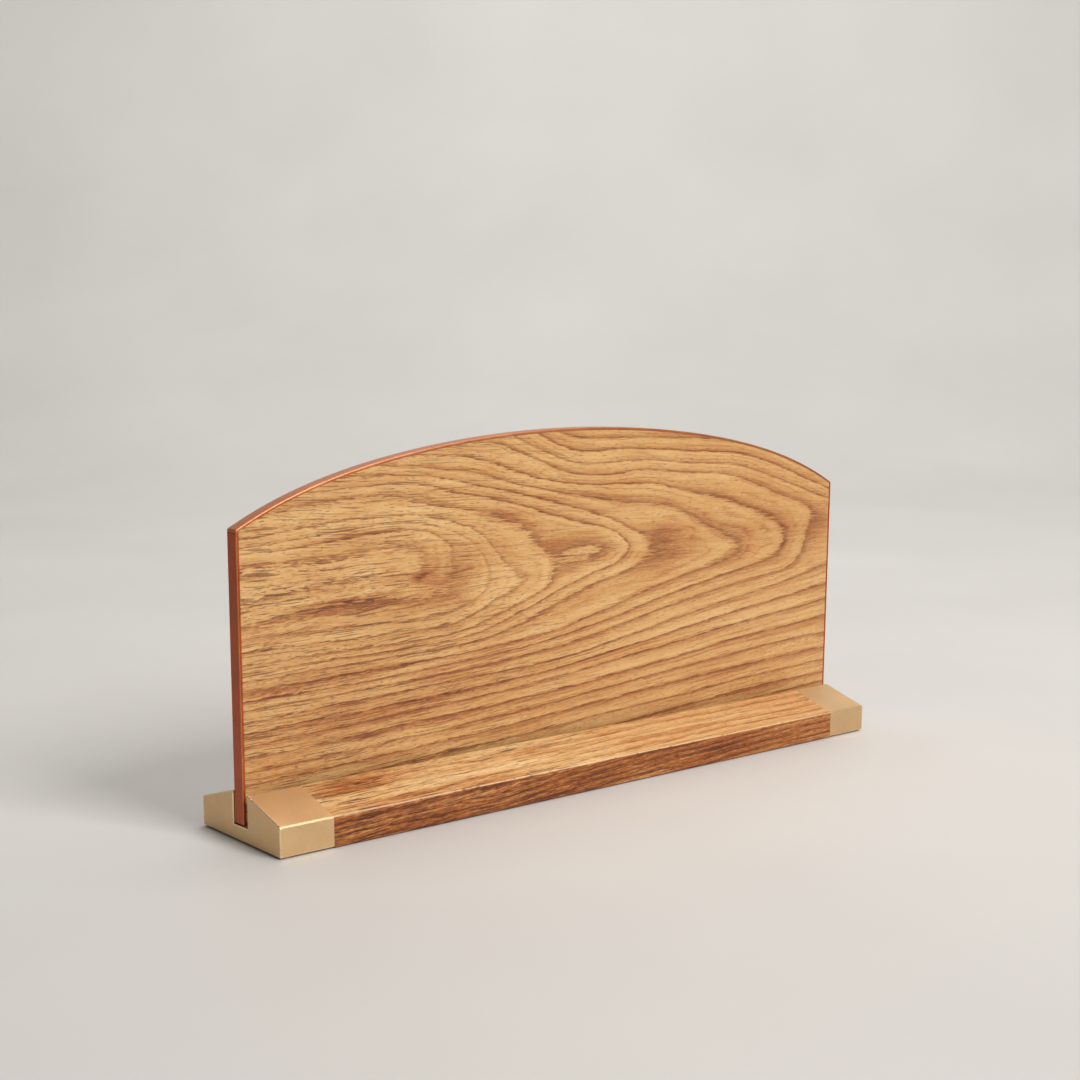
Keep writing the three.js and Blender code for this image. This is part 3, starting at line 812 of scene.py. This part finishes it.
place(side_edging("edging_left", X0, X0 + BAND_T, True), "panel", ["edge_band_left"])
place(side_edging("edging_right", X1 - BAND_T, X1, False), "panel", ["edge_band_right"])
place(bar("edging_bottom", [(Y_FRONT, FOOT), (Y_BACK, FOOT), (Y_BACK, FOOT + BAND_T), (Y_FRONT, FOOT + BAND_T)], [0.4, 0.4, 0.0, 0.0], bx0, bx1, 0.0,
          [M_EDGING_PAINTED_SHADE, M_EDGE_PAINTED_HIGHLIGHT], extra=(-75.0, 0.0, 75.0)), "panel", ["edge_band_bottom"])

# ---------------------------------------------------------------- wood-grain facings of the base


def base_figure(x, s, shift):
    """ring, fib, ink, tone and pore at points of a base facing; s is the distance up round the section, mm."""
    face = 1.0 / (1 + np.exp((s - 10.7) * 6))        # 1 on the upright face, 0 on the slope
    u = x + shift
    lean = face * 0.045 * u + (1 - face) * 0.022 * u
    wave = 1.3 * np.sin(u / 33.0 + 0.6) + 0.8 * np.sin(u / 17.0 + 2.0) * face
    fib = s - lean
    ring = (s - lean - wave * 0.7) / np.where(s < 10.7, 2.7, 4.6) + 40
    ring = (s - lean - wave * 0.7) * (face / 2.6 + (1 - face) / 4.4) + 40
    ink = 0.45 + 0.45 * face / (1 + np.exp((u - 10) / 26)) + blobs(u, s, [(66, 6, 26, 2.2, 0.6), (-110, 26, 24, 5, 0.4), (-70, 14, 40, 3, 0.35)])
    tone = 0.16 + face * (0.42 - 0.05 / (1 + np.exp((15 - u) / 22))) + (1 - face) * 0.07 / (1 + np.exp((20 - u) / 26)) + blobs(u, s, [(-112, 27, 22, 5, 0.22), (-95, 13, 40, 2.4, 0.18), (70, 5, 30, 3, 0.12), (-60, 20, 50, 3.5, -0.12)])
    pore = 0.2 + 0.55 / (1 + np.exp((u + 20) / 30))
    rag = 0.12 + 0.88 / (1 + np.exp((u - 5) / 24))
    return {"ring": ring, "fib": fib, "ink": np.clip(ink, 0, 1.2), "tone": tone, "pore": pore, "rag": rag}


def base_facing(name, rear):
    """The facing wrapped over the upright face, the eased arris and the slope."""
    nx = 170
    # outer line from the underside up to the slot, with the distance along it
    corner_pts, _ = rounded([(yf - 5, 0.0), (yf, 0.0), (yf, FACE_H), (arris_y, arris_z), (ys, LIP_H), (ys, 0.0)], [0, 0, 0.16, 0.16, 0, 0], 3)
    line = np.array(corner_pts[1:-1])
    pts = [line[0]]
    for a, b in zip(line[:-1], line[1:]):
        k = max(1, int(round(np.hypot(*(b - a)) / (0.16 if abs(a[1] - 10.7) < 0.45 and abs(b[1] - 10.7) < 0.6 else 0.85))))
        pts += [a + (b - a) * (i + 1) / k for i in range(k)]
    outer = np.array(pts)
    s = np.r_[0, np.cumsum(np.hypot(*np.diff(outer, axis=0).T))]
    inner = offset_line(half_section, WRAP_T)
    inner[0][1] = 0.0
    t = (ys - inner[2][0]) / (inner[3][0] - inner[2][0])
    inner[3] = [ys, inner[2][1] + (inner[3][1] - inner[2][1]) * t]
    loop = np.vstack([outer, inner[::-1]])
    s_all = np.r_[s, np.interp([3, 2, 1, 0], [0, 1, 2, 3], [0, 10.35, 11.1, s[-1]])]
    m = len(loop)
    flip = -1 if rear else 1
    xs = np.linspace(-SEAM, SEAM, nx + 1)
    verts = [(x, flip * y, z + LIFT) for x in xs for y, z in loop]
    faces = []
    for i in range(nx):
        for j in range(m):
            k = (j + 1) % m
            faces.append((i * m + j, i * m + k, (i + 1) * m + k, (i + 1) * m + j))
    faces += [tuple(range(m)), tuple(range(nx * m, (nx + 1) * m))]
    v = np.array(verts)
    arc = np.tile(s_all, nx + 1)
    attrs = base_figure(v[:, 0] * flip, arc, 0.0 if not rear else 41.0)
    # a narrow band along the eased arris, where the material paints its cream line: partly rubbed wear, partly a
    # painted highlight
    worn_and_highlight = np.exp(-((arc - 10.80) / 0.20) ** 2)
    attrs["worn_and_highlight"] = worn_and_highlight
    return build(name, verts, faces, [M_BASE], attrs=attrs, sharp=50)


place(base_facing("base_grain_front", False), "base", ["grain_wrap_front"])
place(base_facing("base_grain_rear", True), "base", ["grain_wrap_rear"])

# ---------------------------------------------------------------- screws and pads


def screw(name, x, y):
    """M3 countersunk screw, head down, with a hexagon socket and a coned tip."""
    n = 48
    z = LIFT + 0.15
    rings = []

    def circle(r, h):
        rings.append([(x + r * math.cos(2 * math.pi * i / n), y + r * math.sin(2 * math.pi * i / n), h) for i in range(n)])

    def hexagon(a, h):
        out = []
        for i in range(n):
            q = 2 * math.pi * i / n
            r = a / math.cos((q % (math.pi / 3)) - math.pi / 6)
            out.append((x + r * math.cos(q), y + r * math.sin(q), h))
        rings.append(out)

    hexagon(0.12, z + 1.45)
    hexagon(0.99, z + 1.1)
    hexagon(0.99, z + 0.12)
    hexagon(1.09, z + 0.02)
    circle(1.45, z)
    circle(2.62, z)
    circle(2.75, z + 0.07)
    circle(2.74, z + 0.16)
    circle(1.52, z + 1.30)
    circle(1.45, z + 1.42)
    # rolled thread, as fine closed ridges
    h = z + 1.7
    while h < z + 7.4:
        circle(1.45, h)
        circle(1.24, h + 0.22)
        h += 0.5
    circle(1.42, z + 7.5)
    circle(0.95, z + 8.0)
    circle(0.2, z + 8.0)
    verts = [p for r in rings for p in r]
    faces = []
    for k in range(len(rings) - 1):
        for i in range(n):
            j = (i + 1) % n
            faces.append((k * n + i, k * n + j, (k + 1) * n + j, (k + 1) * n + i))
    faces += [tuple(range(n)), tuple(range((len(rings) - 1) * n, len(rings) * n))]
    return build(name, verts, faces, [M_STEEL], sharp=28, weighted=False)


def pad(name, x, y):
    """A round anti-slip pad: a domed rim and three shallow rings on the face that meets the table."""
    profile = [(0, 0.05), (0.9, 0.05), (1.1, 0.0), (1.9, 0.0), (2.1, 0.07), (2.4, 0.07), (2.6, 0.0), (3.4, 0.0), (3.6, 0.07), (3.9, 0.07),
               (4.1, 0.0), (4.62, 0.0), (4.86, 0.06), (4.97, 0.2), (5.0, 0.36), (5.0, 0.96), (4.95, 1.0), (0, 1.0)]
    return turned(name, profile, x, y, [M_RUBBER], 64)


for side, sx in (("left", -1), ("right", 1)):
    for end, sy in (("front", -1), ("rear", 1)):
        place(screw(f"m3_screw_{side}_{end}", sx * (SEAM - 7.0), sy * 15.0), "base", [f"cap_screw_{side}_{end}"])
        place(pad(f"anti_slip_pad_{side}_{end}", sx * (BASE_L / 2 - CAP_L / 2), sy * 16.5), "base", [f"foot_pad_{side}_{end}"])

# ---------------------------------------------------------------- packing strip

floor_z, front, face = SLOT_FLOOR + LIFT, ys + 0.12, Y_FRONT - 0.15
leg, leg_r = [(front, floor_z), (Y_BACK, floor_z), (Y_BACK, FOOT), (face, FOOT)], [0.25, 0.2, 0.2, 0.0]
z0 = FOOT + 1.0
pitch = (14.0 - z0) / 3
for i in range(3):
    z = z0 + i * pitch
    leg += [(face - 0.7, z), (face, z + pitch * 0.55), (face - 0.7, z + pitch * 0.98)]
    leg_r += [0.0, 0.18, 0.0]
leg += [(face - 1.2, 14.25), (front, 14.25)]
leg_r += [0.15, 0.4]
place(bar("rubber_strip", leg, leg_r, -135.0, 135.0, 0.0, [M_STRIP, M_STRIP], extra=(-90.0, -45.0, 0.0, 45.0, 90.0)), "packing", ["packing_strip"])

# ---------------------------------------------------------------- CAD pieces that stay

for node, material in (("base_profile", M_ALU), ("panel_core", M_BOARD)):
    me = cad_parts[node].data
    me.materials.clear()
    me.materials.append(material)

# ---------------------------------------------------------------- floor, lights, camera


AZ, EL, ROLL = math.radians(-39.81), math.radians(10.43), math.radians(0.27)


def behind(d, side=0.0, z=0.0):
    """The place d behind the object as the camera sees it, side to the right of it, and z up."""
    return (-math.sin(AZ) * d + math.cos(AZ) * side, math.cos(AZ) * d + math.sin(AZ) * side, z)


def sweep():
    """A pale floor that runs up into a plain backdrop, square to the camera."""
    line = [(-5.0, 0.0), (-2.0, 0.0), (-1.0, 0.0), (0.0, 0.0), (0.5, 0.0), (1.0, 0.0)]
    r, cy = 1.0, 1.0
    line += [(cy + r * math.sin(q), r - r * math.cos(q)) for q in [math.pi / 2 * i / 28 for i in range(1, 29)]]
    line += [(cy + r, r + 1.5), (cy + r, r + 3.5)]
    verts, faces = [], []
    for x in (-6.0, -2.0, 2.0, 6.0):
        verts += [behind(y, x, z) for y, z in line]
    n = len(line)
    for k in range(3):
        for i in range(n - 1):
            faces.append((k * n + i, k * n + i + 1, (k + 1) * n + i + 1, (k + 1) * n + i))
    me = bpy.data.meshes.new("sweep")
    me.from_pydata(verts, [], faces)
    me.materials.append(floor_paint("floor_matt"))
    me.shade_smooth()
    ob = bpy.data.objects.new("sweep", me)
    bpy.context.scene.collection.objects.link(ob)


sweep()


def area(name, at, to, size, power, colour=(1, 1, 1), size_y=None):
    d = bpy.data.lights.new(name, "AREA")
    d.energy, d.color, d.size = power, colour, size
    if size_y:
        d.shape, d.size_y = "RECTANGLE", size_y
    o = bpy.data.objects.new(name, d)
    bpy.context.scene.collection.objects.link(o)
    o.location = at
    o.rotation_euler = (Vector(to) - Vector(at)).to_track_quat("-Z", "Y").to_euler()
    o.visible_camera = False
    return o


area("key", (0.30, -1.65, 1.42), (0.0, 0, 0.05), 0.9, 36.0, (1.0, 0.965, 0.92))
area("over", (0.18, -0.02, 1.45), (0, 0, 0.05), 1.0, 6.6, (1.0, 0.98, 0.96), 0.8)
area("wash", behind(0.75, 0.0, 1.9), behind(2.0, 0.0, 0.5), 2.2, 22.0, (1.0, 0.99, 0.97), 0.5)

world = bpy.data.worlds.new("studio")
world.use_nodes = True
world.node_tree.nodes["Background"].inputs[0].default_value = (0.86, 0.85, 0.83, 1.0)
world.node_tree.nodes["Background"].inputs[1].default_value = 0.16
bpy.context.scene.world = world
bpy.context.scene.view_settings.view_transform = "Standard"
bpy.context.scene.view_settings.look = "None"

F_PX, SIDE_PX, CY_PX, DIST = 1711.18, 1080.0, 640.0, 0.66892
target = Vector((-0.01524, 0.0, 0.05563 + 0.0005))
back = Vector((math.sin(AZ) * math.cos(EL), -math.cos(AZ) * math.cos(EL), math.sin(EL)))
right = (-back).cross(Vector((0, 0, 1))).normalized()
up = right.cross(-back).normalized()
right, up = math.cos(ROLL) * right + math.sin(ROLL) * up, -math.sin(ROLL) * right + math.cos(ROLL) * up
cam = bpy.data.cameras.new("camera")
cam.sensor_width, cam.lens = 36.0, F_PX / SIDE_PX * 36.0
cam.shift_y = (CY_PX - SIDE_PX / 2) / SIDE_PX
cam.clip_start, cam.clip_end = 0.01, 50.0
cam.dof.use_dof = False
camera = bpy.data.objects.new("camera", cam)
bpy.context.scene.collection.objects.link(camera)
camera.matrix_world = Matrix([[right[i], up[i], back[i], (target + back * DIST)[i]] for i in range(3)] + [[0, 0, 0, 1]])
bpy.context.scene.camera = camera

# ---------------------------------------------------------------- done

bpy.context.view_layer.update()
